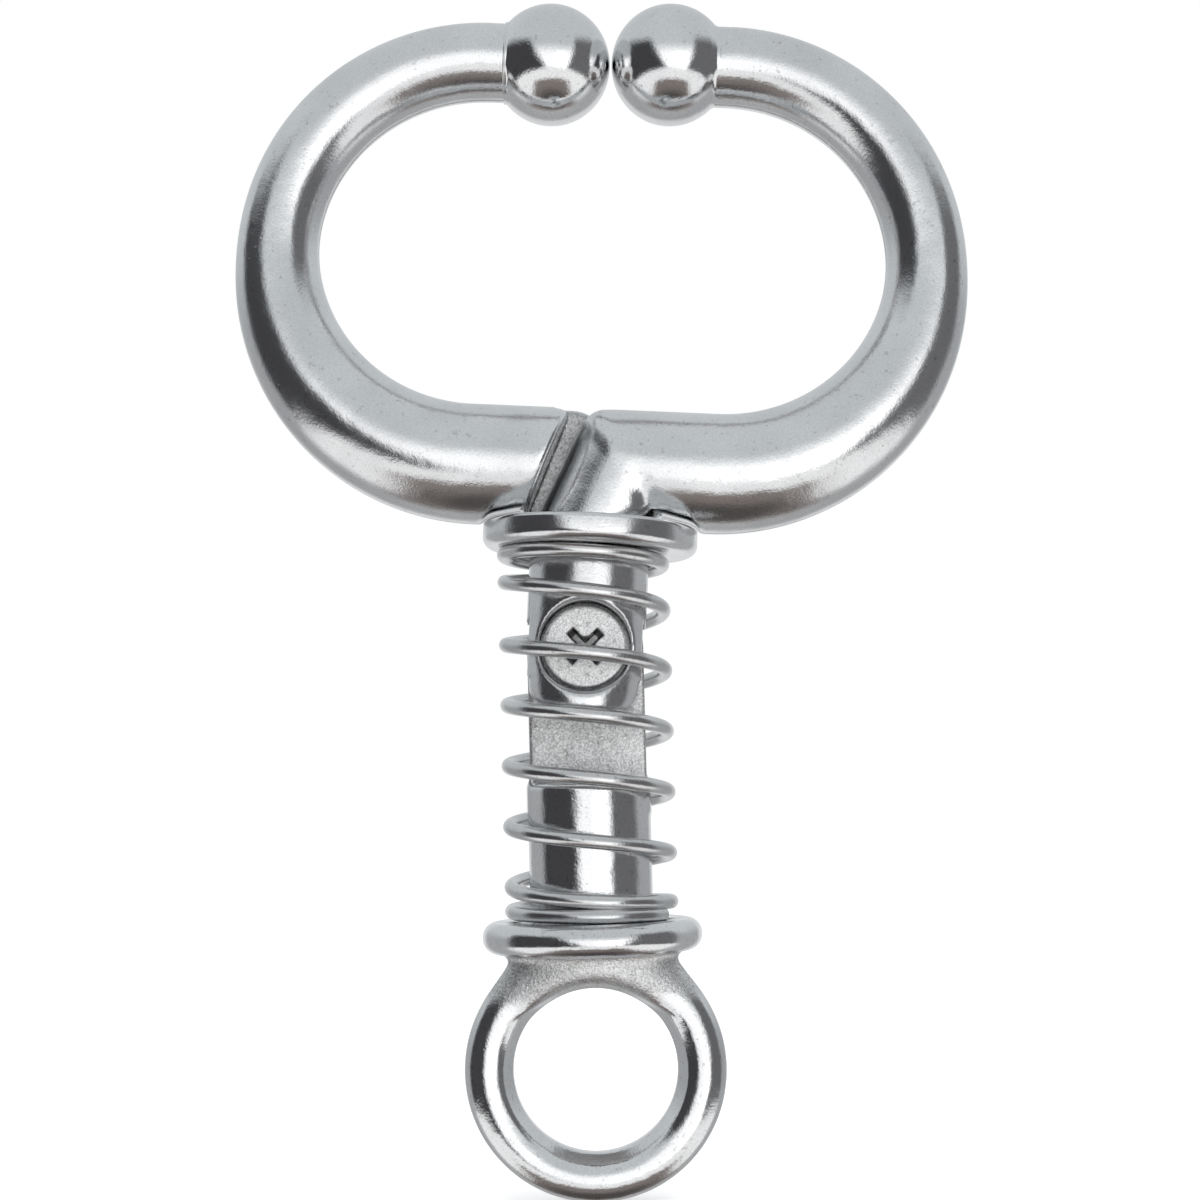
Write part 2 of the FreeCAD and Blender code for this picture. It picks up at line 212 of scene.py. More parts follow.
def net_vertices(grid, inside):
    """One vertex in each grid cell that the surface crosses, at the mean of its crossed edges."""
    shape = tuple(n - 1 for n in grid.shape)
    total = np.zeros(shape + (3,))
    count = np.zeros(shape)
    for axis in range(3):
        first, second = [a for a in range(3) if a != axis]
        for b in (0, 1):
            for c in (0, 1):
                near, far, was, now = grid, grid, inside, inside
                for side, offset in ((first, b), (second, c)):
                    last = grid.shape[side] - 1 + offset
                    near, far, was, now = [shifted(v, side, offset, last) for v in (near, far, was, now)]
                near, was = shifted(near, axis, 0, -1), shifted(was, axis, 0, -1)
                far, now = shifted(far, axis, 1, None), shifted(now, axis, 1, None)
                crossed = was != now
                share = np.where(crossed, near / np.where(crossed, near - far, 1), 0)
                total[..., axis] += share
                total[..., first] += crossed * b
                total[..., second] += crossed * c
                count += crossed
    cells = np.argwhere(count > 0)
    found = tuple(cells.T)
    names = np.full(shape, -1)
    names[found] = np.arange(len(cells))
    return cells + total[found] / count[found][:, None], names


def net_faces(inside, names):
    """A quad round each grid edge that the surface crosses, facing out of the solid."""
    quads = []
    for axis in range(3):
        first, second = (axis + 1) % 3, (axis + 2) % 3
        was, now = inside, inside
        for side in (first, second):
            was, now = shifted(was, side, 1, -1), shifted(now, side, 1, -1)
        was, now = shifted(was, axis, 0, -1), shifted(now, axis, 1, None)
        corner = np.argwhere(was != now)
        outward = was[tuple(corner.T)]
        corner[:, first] += 1
        corner[:, second] += 1
        ring = []
        for b, c in ((1, 1), (0, 1), (0, 0), (1, 0)):
            cell = corner.copy()
            cell[:, first] -= b
            cell[:, second] -= c
            ring.append(names[tuple(cell.T)])
        ring = np.stack(ring, axis=1)
        quads.append(np.where(outward[:, None], ring, ring[:, ::-1]))
    return np.concatenate(quads)


def settle(distance, points, cell):
    """Moves points onto the surface along the distance's own slope."""
    nudge = 0.02
    for _ in range(5):
        x, y, z = points.T
        here = distance(x, y, z)
        slope = np.stack(
            [
                distance(x + nudge, y, z) - distance(x - nudge, y, z),
                distance(x, y + nudge, z) - distance(x, y - nudge, z),
                distance(x, y, z + nudge) - distance(x, y, z - nudge),
            ],
            axis=1,
        ) / (2 * nudge)
        size = np.maximum((slope**2).sum(axis=1), 0.1)
        move = np.clip(here / size, -cell, cell)[:, None] * slope
        points = points - move
    return points


def casting(name, distance, low, high, cell, place):
    """A closed, smooth mesh over the solid where distance(x, y, z) is negative. The place is in the mesh."""
    axes = [np.arange(a - 2 * cell, b + 2 * cell, cell) for a, b in zip(low, high)]
    grid = distance(*np.meshgrid(*axes, indexing="ij"))
    inside = grid < 0
    points, names = net_vertices(grid, inside)
    origin = np.array([a[0] for a in axes])
    points = settle(distance, points * cell + origin, cell)
    mesh = bpy.data.meshes.new(name)
    mesh.from_pydata(points.tolist(), [], net_faces(inside, names).tolist())
    return finish_mesh(name, mesh, place), points


def finish_mesh(name, mesh, place):
    """Puts the place and the change to metres into the mesh, and makes a smooth piece of it."""
    mesh.transform(Matrix.Scale(MM, 4) @ place)
    mesh.validate()
    mesh.polygons.foreach_set("use_smooth", [True] * len(mesh.polygons))
    mesh.update()
    piece = bpy.data.objects.new(name, mesh)
    bpy.context.scene.collection.objects.link(piece)
    return piece


def mark(piece, name, shares):
    """Keeps a number from 0 to 1 for each vertex, which the piece's material reads."""
    layer = piece.data.attributes.new(name, "FLOAT", "POINT")
    layer.data.foreach_set("value", np.asarray(shares, dtype=np.float32))


# ------------------------------------------------------------------ lathe work


def arc_points(centre, radius, start, end, count):
    """Points on an arc in the lathe's half plane (axial, radial), angles in degrees."""
    return [
        (centre[0] + radius * math.cos(math.radians(a)), centre[1] + radius * math.sin(math.radians(a)))
        for a in np.linspace(start, end, count)
    ]


def lathe(name, profile, place, segments=160, ring=False):
    """Turns a profile of (axial, radial) points about +Z. A ring's profile closes on itself."""
    bm = bmesh.new()
    rows = []
    for axial, radial in profile:
        if radial < 1e-6:
            rows.append([bm.verts.new((0, 0, axial))])
            continue
        angles = [2 * math.pi * n / segments for n in range(segments)]
        rows.append([bm.verts.new((radial * math.cos(a), radial * math.sin(a), axial)) for a in angles])
    pairs = list(zip(rows, rows[1:]))
    if ring:
        pairs.append((rows[-1], rows[0]))
    for one, two in pairs:
        for n in range(segments):
            m = (n + 1) % segments
            corners = [one[n % len(one)], one[m % len(one)], two[m % len(two)], two[n % len(two)]]
            face = list(dict.fromkeys(corners))
            if len(face) > 2:
                bm.faces.new(face)
    bmesh.ops.recalc_face_normals(bm, faces=bm.faces)
    mesh = bpy.data.meshes.new(name)
    bm.to_mesh(mesh)
    bm.free()
    return finish_mesh(name, mesh, place)


# ------------------------------------------------------------------ the arms


def taper(share):
    """The bow's extra thickness: almost 0 at its side and above, 1 at its bottom, with no sudden change."""
    eased = (share + np.sqrt(share**2 + 0.14**2)) / 2
    eased = np.minimum(eased, 1.0)
    return 0.2 * eased + 0.8 * np.sin(eased * math.pi / 2)


def bow_distance(x, y, z):
    """The tapering half circle and the straight runs at its two ends."""
    angle = np.arctan2(z - BOW_Z, np.maximum(x - BOW_X, 1e-6))
    radius = TUBE_TIP + (TUBE_ROOT - TUBE_TIP) * taper(np.clip(-angle / (math.pi / 2), -1, 1))
    curved = np.hypot(np.hypot(x - BOW_X, z - BOW_Z) - BOW_RADIUS, y) - radius
    level = np.hypot(z - ELBOW.z, y) - TUBE_ROOT
    tip = np.hypot(z - BOW_Z - BOW_RADIUS, y) - TUBE_TIP
    tip = np.maximum(tip, BALL_X + 3 - x)
    straight = np.where(z < BOW_Z, level, tip)
    return np.where(x > BOW_X, curved, straight)


def leg_distance(x, y, z):
    """Leg, leaning part and level run as one bent pipe, with soft mitres where they meet."""
    foot_mitre, elbow_mitre = 2.5, 2.6
    across = (x - ELBOW.x) * ELBOW_RUN.z - (z - ELBOW.z) * ELBOW_RUN.x
    leaning = np.hypot(across, y) - TUBE_ROOT
    leg = np.hypot(x, y) - LEG_RADIUS
    foot_normal = (ELBOW_RUN + Vector((0, 0, 1))).normalized()
    past_foot = x * foot_normal.x + (z - ELBOW_FOOT.z) * foot_normal.z
    pipe = mix(leg, leaning, step(-foot_mitre, foot_mitre, past_foot))
    elbow_normal = (ELBOW_RUN + Vector((1, 0, 0))).normalized()
    past_elbow = (x - ELBOW.x) * elbow_normal.x + (z - ELBOW.z) * elbow_normal.z
    return mix(pipe, bow_distance(x, y, z), step(-elbow_mitre, elbow_mitre, past_elbow))


def leg_end(x, z):
    """Seen from the front, the inside of the leg's lower end with its two round corners."""
    side_x = np.maximum(np.abs(x) - (LEG_RADIUS - LEG_CORNER), 0)
    side_z = np.maximum(LEG_CORNER - LEG_DROP - z, 0)
    corners = np.hypot(side_x, side_z) - LEG_CORNER
    return np.where(z > LEG_CORNER - LEG_DROP, -LEG_CORNER, corners)


def round_corner(beside, above, radius):
    """The inside of a corner between two faces, rounded by a radius."""
    return np.hypot(np.maximum(beside + radius, 0), np.maximum(above + radius, 0)) - radius


def lap_room(x, y, above, z):
    """What is cut away behind the lap's plane. It ends on a slanted face with a round top corner."""
    slanted = math.cos(LAP_SLANT) * (x - LAP_SIDE) + math.sin(LAP_SLANT) * (z - LAP_BEND)
    right_of_face = np.maximum(x - LAP_SIDE, slanted)
    end = round_corner(-right_of_face, above, LAP_ROUND)
    end = np.where(z > BALLS_ABOVE, -right_of_face, end)
    return np.maximum(-(y + HALF_LAP_GAP), -end)


def collar_room(x, y, z):
    """The hollow over the collar, with a round corner inside and a flare up to the leg."""
    out = np.hypot(x, y)
    flare = SEAT_FLARE * np.maximum(z - SEAT_FLARE_FROM, 0)
    wall = np.maximum(out - SEAT_RADIUS, 0.8 * (LEG_RADIUS + 0.05 + flare - out))
    roof = z - SEAT_TOP + SEAT_SLOPE * (out - LEG_RADIUS)
    return np.maximum(soft_max(roof, out - SEAT_RADIUS, 2.4), wall)


def arm_distance(counterbored, tip_rise):
    """The right arm as cast and machined. The bow's upper half is drawn out by tip_rise at the ball."""

    def distance(x, y, z):
        stretch = BOW_RADIUS / (BOW_RADIUS + tip_rise)
        z = np.where(z > BOW_Z, BOW_Z + (z - BOW_Z) * stretch, z)
        body = leg_distance(x, y, z)
        body = np.where(z < LEG_END_BELOW, soft_max(body, leg_end(x, z), LEG_EDGE), body)
        # the pipe's upper corner at the elbow is rounded, and the level run to its right is spared
        spared = 2 * np.maximum(x - SPARED_FROM, 0)
        beside = (z - ELBOW.z) * ELBOW_RUN.x - (x - ELBOW.x) * ELBOW_RUN.z - TUBE_ROOT
        above = z - ELBOW.z - TUBE_ROOT - spared
        corner = round_corner(beside, above, ELBOW_ROUND)
        at_elbow = (z > ELBOW_FROM) & (z < ELBOW_TO)
        body = np.where(at_elbow, soft_max(body, corner, 0.2), body)
        body = soft_max(body, -lap_room(x, y, above - spared, z), LAP_EDGE)
        # room for the tongue
        radial = np.hypot(x, z)
        tongue = np.maximum(-(y + TONGUE_SIDE + TONGUE_GAP), np.minimum(radial - TONGUE_ROOM, z))
        body = soft_max(body, -tongue, TONGUE_ROOM_EDGE)
        body = soft_max(body, -collar_room(x, y, z), SEAT_EDGE)
        body = soft_max(body, SCREW_HOLE - radial, HOLE_EDGE)
        if counterbored:
            bore = np.maximum(radial - COUNTERBORE, y + HEAD_SEAT)
            body = soft_max(body, -bore, COUNTERBORE_EDGE)
        return body

    return distance


def make_arm(name, turn, counterbored, tip_rise):
    low = (-LEG_RADIUS - 1, -LEG_RADIUS, -LEG_DROP)
    high = (BOW_X + BOW_RADIUS + 8, LEG_RADIUS, BOW_Z + BOW_RADIUS + TUBE_TIP + 1)
    piece, points = casting(name, arm_distance(counterbored, tip_rise), low, high, ARM_CELL, arm_frame @ turn)
    x, y, z = points.T
    lap_face = np.abs(y + HALF_LAP_GAP) < 0.12
    flat = lap_face | ((np.abs(y + TONGUE_SIDE + TONGUE_GAP) < 0.1) & (z < 10))
    mark(piece, "machined", flat.astype(float))
    return piece


def make_ball(name, turn, welded, tip_rise):
    """A ball on the end of the bow. The welded one has a crisp bead at its neck, the other a soft fillet."""
    centre = Matrix.Translation((BALL_X, 0, BOW_Z + BOW_RADIUS + tip_rise))
    place = arm_frame @ turn @ centre @ Matrix.Rotation(math.pi / 2, 4, "Y")
    neck = math.degrees(math.asin(TUBE_TIP / BALL_RADIUS))
    if welded:
        bead = 0.18
        neck_x = math.sqrt(BALL_RADIUS**2 - (TUBE_TIP + bead) ** 2)
        profile = arc_points((0, 0), BALL_RADIUS, 180, neck + 6, 72)
        profile += arc_points((neck_x + 0.3, TUBE_TIP), bead, 150, 10, 10)
    else:
        fillet = 1.6
        reach = BALL_RADIUS + fillet
        centre_r = TUBE_TIP + fillet
        centre_x = math.sqrt(reach**2 - centre_r**2)
        lift = math.degrees(math.asin(centre_r / reach))
        profile = arc_points((0, 0), BALL_RADIUS, 180, lift, 72)
        profile += arc_points((centre_x, centre_r), fillet, 180 + lift, 270, 14)[1:]
    # the bow's end sits in a socket inside the ball
    socket, socket_floor = TUBE_TIP - 0.03, 3.2
    profile += [(profile[-1][0], socket), (socket_floor, socket), (socket_floor, 0.0)]
    return lathe(name, profile, place)


# ------------------------------------------------------------------ the handle


def handle_distance(x, y, z):
    """The handle's casting: the eye's ring, its neck, the flange, the round shaft and the flat tongue."""
    ring_r = np.hypot(x, z)
    section = (EYE_OUTER - EYE_BORE) / 2
    ring = np.hypot(ring_r - EYE_BORE - section, np.maximum(np.abs(y) - EYE_HALF_LAND, 0)) - section
    # a flat bevel round the inside of the hole, both sides
    bevel = 0.5 * (np.abs(y) - EYE_BEVEL_Y) - 0.865 * (ring_r - EYE_BORE - EYE_BEVEL_OUT)
    ring = soft_max(ring, bevel, 0.12)
    # neck: an oval column that spreads into ring and flange
    oval = (np.hypot(x / NECK_HALF_WIDTH, y / NECK_HALF_DEPTH) - 1) * 7.2
    neck = np.maximum(np.maximum(oval, z - FLANGE_TOP + 1), NECK_FOOT - z)
    neck = soft_max(neck, EYE_BORE + 0.9 - ring_r, 2.4)
    out = np.hypot(x, y)
    half = FLANGE_THICK / 2
    middle = FLANGE_TOP - half
    flange = round_corner(out - FLANGE_RADIUS, np.abs(z - middle) - half, FLANGE_EDGE)
    lower = soft_min(ring, neck, 2.5)
    lower = soft_min(lower, flange, 2.2)
    shaft = soft_max(out - SHAFT_RADIUS, z - SHAFT_TOP, SHAFT_EDGE)
    shaft = np.maximum(shaft, middle - z)
    above = np.maximum(z - pivot.z, 0)
    plate = np.hypot(np.where(above > 0, x, np.abs(x)), above) - TONGUE_HALF
    tongue = soft_max(plate, np.abs(y) - TONGUE_SIDE, 0.6)
    tongue = np.maximum(tongue, SHAFT_TOP - 4 - z)
    upper = soft_min(shaft, tongue, 1.4)
    upper = soft_max(upper, SCREW_HOLE - np.hypot(x, z - pivot.z), HOLE_EDGE)
    return np.minimum(lower, upper)


def make_handle():
    low = (-EYE_OUTER, -FLANGE_RADIUS, -EYE_OUTER)
    high = (EYE_OUTER, FLANGE_RADIUS, pivot.z + TONGUE_HALF)
    piece, points = casting("handle_casting", handle_distance, low, high, HANDLE_CELL, Matrix.Identity(4))
    x, y, z = points.T
    # the neck and the tongue's flat sides are left blasted, and the rest is polished
    neck = step(9.2, 12.5, z) * step(-17.9, -17.0, -z)
    tongue_face = step(-TONGUE_SIDE - 0.15, -TONGUE_SIDE - 0.02, -np.abs(y)) * step(42.7, 43.2, z)
    mark(piece, "blasted", np.maximum(neck, tongue_face))
    return piece


# ------------------------------------------------------------------ screw and collar


def screw_distance(x, y, z):
    radial = np.hypot(x, z)
    disc = np.abs(y + (HEAD_FACE + HEAD_SEAT) / 2) - (HEAD_FACE - HEAD_SEAT) / 2
    head = soft_max(radial - HEAD_RADIUS, disc, 0.6)
    shank = np.maximum(radial - SHANK_RADIUS, np.maximum(y - SHANK_END, -HEAD_SEAT - 1 - y))
    # the cross recess narrows with its depth
    u = x * math.cos(CROSS_TURN) + z * math.sin(CROSS_TURN)
    v = z * math.cos(CROSS_TURN) - x * math.sin(CROSS_TURN)
    depth = y + HEAD_FACE
    slots = []
    for one, two in ((u, v), (v, u)):
        length = np.abs(one) - CROSS_REACH + CROSS_END_TAPER * depth
        width = np.abs(two) - CROSS_HALF + CROSS_SIDE_TAPER * depth
        slots.append(np.maximum(length, width))
    cross = np.minimum(slots[0], slots[1])
    hub = radial - CROSS_HUB + CROSS_END_TAPER * depth
    cross = np.maximum(soft_min(cross, hub, 0.4), depth - CROSS_DEPTH)
    return soft_max(np.minimum(head, shank), -cross, 0.16)


def make_screw():
    reach = 6.2
    low = (-reach, -HEAD_FACE, -reach)
    high = (reach, SHANK_END, reach)
    piece, points = casting("pivot_screw_body", screw_distance, low, high, SCREW_CELL, arm_frame)
    x, y, z = points.T
    # painted shade: the inside of the cross recess is marked, more the deeper it goes, for a dark steel that
    # stands in for the shade down in it
    inside = (np.hypot(x, z) < 4.0) & (y < -HEAD_SEAT)
    mark(piece, "recess_painted_shade", np.where(inside, step(0.12, 0.9, y + HEAD_FACE), 0.0))
    return piece


def make_collar():
    top_edge, foot_edge, inner_edge = 0.7, 1.6, 0.5
    half = COLLAR_THICK / 2
    profile = arc_points((half - top_edge, COLLAR_RADIUS - top_edge), top_edge, 0, 90, 8)
    profile += arc_points((foot_edge - half, COLLAR_RADIUS - foot_edge), foot_edge, 90, 180, 12)
    profile += arc_points((inner_edge - half, COLLAR_BORE + inner_edge), inner_edge, 180, 270, 8)
    profile += arc_points((half - inner_edge, COLLAR_BORE + inner_edge), inner_edge, 270, 360, 8)
    place = arm_frame @ Matrix.Translation((0, 0, COLLAR_MIDDLE))
    return lathe("collar_ring", profile, place, segments=220, ring=True)


# ------------------------------------------------------------------ nodes


def feed(tree, socket, value):
    """Gives a socket a plain value, or links another socket to it."""
    if isinstance(value, bpy.types.NodeSocket):
        tree.links.new(value, socket)
    elif value is not None:
        socket.default_value = value


def add_node(tree, kind, **inputs):
    """A new node with some of its inputs fed. Spaces in their names are written as underscores."""
    node = tree.nodes.new(kind)
    for name, value in inputs.items():
        feed(tree, node.inputs[name.replace("_", " ")], value)
    return node


def math_node(tree, operation, first, second=None, third=None, clamp=False):
    """A Math node whose inputs are numbers or sockets. Returns its output."""
    node = tree.nodes.new("ShaderNodeMath")
    node.operation = operation
    node.use_clamp = clamp
    for socket, value in zip(node.inputs, (first, second, third)):
        feed(tree, socket, value)
    return node.outputs[0]


def ramp(tree, value, low, high, kind="LINEAR"):
    """0 at low and 1 at high. Low may be the larger, which turns it round. SMOOTHSTEP has soft ends."""
    node = add_node(tree, "ShaderNodeMapRange", Value=value, From_Min=low, From_Max=high)
    node.interpolation_type = kind
    return node.outputs["Result"]


def new_group(name, kind, inputs, outputs):
    """An empty node tree with these sockets. Returns it with its entry's sockets and its exit's node."""
    tree = bpy.data.node_groups.new(name, kind)
    for side, sockets in (("INPUT", inputs), ("OUTPUT", outputs)):
        for socket, socket_kind in sockets:
            tree.interface.new_socket(socket, in_out=side, socket_type="NodeSocket" + socket_kind)
    return tree, tree.nodes.new("NodeGroupInput").outputs, tree.nodes.new("NodeGroupOutput")


# ------------------------------------------------------------------ the spring, made by Geometry Nodes


def hinge_ramp(tree, turn, start, width):
    """A number that is 0 before start and then grows with the turn, bending over a width."""
    past = math_node(tree, "SUBTRACT", turn, start)
    square = math_node(tree, "MULTIPLY_ADD", width, width, math_node(tree, "MULTIPLY", past, past))
    both = math_node(tree, "ADD", past, math_node(tree, "SQRT", square))
    return math_node(tree, "MULTIPLY", both, 0.5)


COIL_INPUTS = [
    ("Coil radius", "Float"),
    ("Wire radius", "Float"),
    ("First angle", "Float"),
    ("From turn", "Float"),
    ("To turn", "Float"),
    ("Top height", "Float"),
    ("Top pitch", "Float"),
    ("Open pitch", "Float"),
    ("Foot pitch", "Float"),
    ("Opens at", "Float"),
    ("Closes at", "Float"),
    ("Top tilt", "Float"),
    ("Floor", "Float"),
    ("Points", "Int"),
    ("Wire material", "Material"),
]
BEND = 0.15
TILT_FADES = (0.75, 1.7)
WIRE_SIDES = 24


def coil_height(tree, entry, turn, x):
    """The wire's height: closed pitch at both ends, open pitch between them, and a tilt at the top."""
    opened = hinge_ramp(tree, turn, entry["Opens at"], BEND)
    closed = hinge_ramp(tree, turn, entry["Closes at"], BEND)
    steeper = math_node(tree, "SUBTRACT", entry["Open pitch"], entry["Top pitch"])
    flatter = math_node(tree, "SUBTRACT", entry["Foot pitch"], entry["Open pitch"])
    fall = math_node(tree, "MULTIPLY", turn, entry["Top pitch"])
    fall = math_node(tree, "MULTIPLY_ADD", opened, steeper, fall)
    fall = math_node(tree, "MULTIPLY_ADD", closed, flatter, fall)
    height = math_node(tree, "SUBTRACT", entry["Top height"], fall)
    # the top coil lies against the tilted collar, and the tilt fades out over the first open turn
    fade = ramp(tree, turn, *TILT_FADES, "SMOOTHSTEP")
    fade = math_node(tree, "SUBTRACT", 1.0, fade)
    tilt = math_node(tree, "MULTIPLY", fade, entry["Top tilt"])
    return math_node(tree, "SUBTRACT", height, math_node(tree, "MULTIPLY", tilt, x))


def coil_tree():
    """Wire wound left-handed from the top down, with closed ends and a ground foot. Lengths in metres."""
    made = [("Geometry", "Geometry")]
    tree, entry, leave = new_group("wound_spring", "GeometryNodeTree", COIL_INPUTS, made)
    line = add_node(tree, "GeometryNodeMeshLine", Count=entry["Points"])
    curve = add_node(tree, "GeometryNodeMeshToCurve", Mesh=line.outputs["Mesh"])
    # the turn that each point of the wire has reached
    index = tree.nodes.new("GeometryNodeInputIndex").outputs[0]
    share = math_node(tree, "DIVIDE", index, math_node(tree, "SUBTRACT", entry["Points"], 1))
    span = math_node(tree, "SUBTRACT", entry["To turn"], entry["From turn"])
    turn = math_node(tree, "MULTIPLY_ADD", share, span, entry["From turn"])
    angle = math_node(tree, "MULTIPLY_ADD", turn, math.tau, entry["First angle"])
    x = math_node(tree, "MULTIPLY", math_node(tree, "COSINE", angle), entry["Coil radius"])
    y = math_node(tree, "MULTIPLY", math_node(tree, "SINE", angle), entry["Coil radius"])
    place = add_node(tree, "ShaderNodeCombineXYZ", X=x, Y=y, Z=coil_height(tree, entry, turn, x))
    bent = add_node(
        tree,
        "GeometryNodeSetPosition",
        Geometry=curve.outputs["Curve"],
        Position=place.outputs[0],
    )
    # the wire itself
    ring = add_node(
        tree,
        "GeometryNodeCurvePrimitiveCircle",
        Resolution=WIRE_SIDES,
        Radius=entry["Wire radius"],
    )
    wire = add_node(
        tree,
        "GeometryNodeCurveToMesh",
        Curve=bent.outputs["Geometry"],
        Profile_Curve=ring.outputs["Curve"],
        Fill_Caps=True,
    )
    # ground flat where the last turn meets the flange
    parts = add_node(
        tree,
        "ShaderNodeSeparateXYZ",
        Vector=tree.nodes.new("GeometryNodeInputPosition").outputs[0],
    )
    level = math_node(tree, "MAXIMUM", parts.outputs[2], entry["Floor"])
    flat = add_node(tree, "ShaderNodeCombineXYZ", X=parts.outputs[0], Y=parts.outputs[1], Z=level)
    ground = add_node(
        tree,
        "GeometryNodeSetPosition",
        Geometry=wire.outputs["Mesh"],
        Position=flat.outputs[0],
    )
    smooth = add_node(tree, "GeometryNodeSetShadeSmooth", Geometry=ground.outputs["Geometry"])
    real = add_node(tree, "GeometryNodeRealizeInstances", Geometry=smooth.outputs["Geometry"])
    painted = add_node(
        tree,
        "GeometryNodeSetMaterial",
        Geometry=real.outputs["Geometry"],
        Material=entry["Wire material"],
    )
    tree.links.new(painted.outputs["Geometry"], leave.inputs["Geometry"])
    return tree


def wind(name, tree, values, points_per_turn=96):
    """Runs the spring's tree with these inputs and keeps the result as a plain mesh."""
    values = dict(values)
    values["Points"] = int((values["To turn"] - values["From turn"]) * points_per_turn)
    empty = bpy.data.meshes.new(name + "_blank")
    maker = bpy.data.objects.new(name + "_maker", empty)
    bpy.context.scene.collection.objects.link(maker)
    modifier = maker.modifiers.new("winding", "NODES")
    modifier.node_group = tree
    for item in tree.interface.items_tree:
        if item.in_out == "INPUT" and item.name in values:
            modifier[item.identifier] = values[item.name]
    evaluated = maker.evaluated_get(bpy.context.evaluated_depsgraph_get())
    mesh = bpy.data.meshes.new_from_object(evaluated)
    bpy.data.objects.remove(maker)
    mesh.name = name
    piece = bpy.data.objects.new(name, mesh)
    bpy.context.scene.collection.objects.link(piece)
    return piece


def make_spring(material):
    """The coils ride on the handle. The top coil rides on the collar and meets them behind."""
    tree = coil_tree()
    first_angle, back_angle = 115, 450
    junction = (back_angle - first_angle) / 360
    overlap, slack = 0.03, 0.004
    shared = {
        "Coil radius": COIL * MM,
        "Wire radius": WIRE * MM,
        "First angle": math.radians(first_angle),
        "Top height": SPRING_TOP * MM,
        "Top pitch": TOP_PITCH * MM,
        "Open pitch": OPEN_PITCH * MM,
        "Foot pitch": FOOT_PITCH * MM,
        "Opens at": OPENS_AT,
        "Closes at": CLOSES_AT,
        "Top tilt": math.tan(lean),
        "Floor": FLANGE_TOP * MM,
        "Wire material": material,
    }
    coils = wind("spring_coils", tree, {**shared, "From turn": junction, "To turn": LAST_TURN})
    # the top coil's wire is a hair thicker, so that it hides the other's end where they overlap
    shared["Wire radius"] = (WIRE + slack) * MM
    top_coil = wind("spring_top_coil", tree, {**shared, "From turn": 0.0, "To turn": junction + overlap})
    meets_at = SPRING_TOP - TOP_PITCH * junction - (OPEN_PITCH - TOP_PITCH) * (junction - OPENS_AT)
    return coils, top_coil, meets_at


# ------------------------------------------------------------------ materials


def noise(tree, coordinates, scale, detail, roughness=0.5):
    node = add_node(
        tree,
        "ShaderNodeTexNoise",
        Vector=coordinates,
        Scale=scale,
        Detail=detail,
        Roughness=roughness,
    )
    return node.outputs["Fac"]


def blend_colour(tree, share, first, second):
    node = tree.nodes.new("ShaderNodeMix")
    node.data_type = "RGBA"
    for socket, value in ((0, share), (6, first), (7, second)):
        feed(tree, node.inputs[socket], value)
    return node.outputs[2]


STEEL_INPUTS = [
    ("Coordinates", "Vector"),
    ("Light steel", "Color"),
    ("Dark steel", "Color"),
    ("Smoothest", "Float"),
    ("Roughest", "Float"),
    ("Pits", "Float"),
    ("Grain", "Float"),
    ("Ripple", "Float"),
    ("Sand", "Float"),
    ("Sand colour", "Color"),
]
STEEL_OUTPUTS = [("Colour", "Color"), ("Roughness", "Float"), ("Height", "Float")]
PIT_COLOUR = (0.12, 0.11, 0.10, 1.0)


def steel_group():
    """Cast and polished steel: cloudy tint, fine grain, sparse pits and faint ripples from the belt."""
    tree, entry, leave = new_group("polished_casting", "ShaderNodeTree", STEEL_INPUTS, STEEL_OUTPUTS)
    where = entry["Coordinates"]

    def times(first, second, clamp=False):
        return math_node(tree, "MULTIPLY", first, second, clamp=clamp)

    def plus(first, second, clamp=False):
        return math_node(tree, "ADD", first, second, clamp=clamp)

    cloud = ramp(tree, noise(tree, where, 90, 3), 0.35, 0.65)
    grain = noise(tree, where, 2600, 2, 0.7)
    speckle = ramp(tree, noise(tree, where, 1100, 2, 0.6), 0.63, 0.75)
    pit_cells = add_node(tree, "ShaderNodeTexVoronoi", Vector=where, Scale=950)
    sparse = ramp(tree, noise(tree, where, 420, 2), 0.55, 0.68)
    pit = times(ramp(tree, pit_cells.outputs["Distance"], 0.22, 0.12), sparse)
    pit = times(pit, entry["Pits"], clamp=True)
    # colour
    tint = blend_colour(tree, cloud, entry["Light steel"], entry["Dark steel"])
    sand = ramp(tree, noise(tree, where, 3600, 1, 0.6), 0.38, 0.62)
    sand = times(sand, entry["Sand"], clamp=True)
    tint = blend_colour(tree, sand, tint, entry["Sand colour"])
    speckled = times(speckle, entry["Grain"], clamp=True)
    dark = math_node(tree, "MAXIMUM", times(speckled, 0.35), times(pit, 0.45))
    colour = blend_colour(tree, dark, tint, PIT_COLOUR)
    # roughness
    spread = math_node(tree, "SUBTRACT", entry["Roughest"], entry["Smoothest"])
    rough = times(plus(times(cloud, 0.5), times(grain, 0.5)), spread)
    rough = plus(rough, entry["Smoothest"])
    rough = plus(rough, times(pit, 0.3), clamp=True)
    # height
    wave = times(noise(tree, where, 170, 2), entry["Ripple"])
    height = plus(wave, times(times(grain, entry["Grain"]), 0.35))
    height = math_node(tree, "SUBTRACT", height, times(pit, 0.3))
    for name, value in (("Colour", colour), ("Roughness", rough), ("Height", height)):
        tree.links.new(value, leave.inputs[name])
    return tree


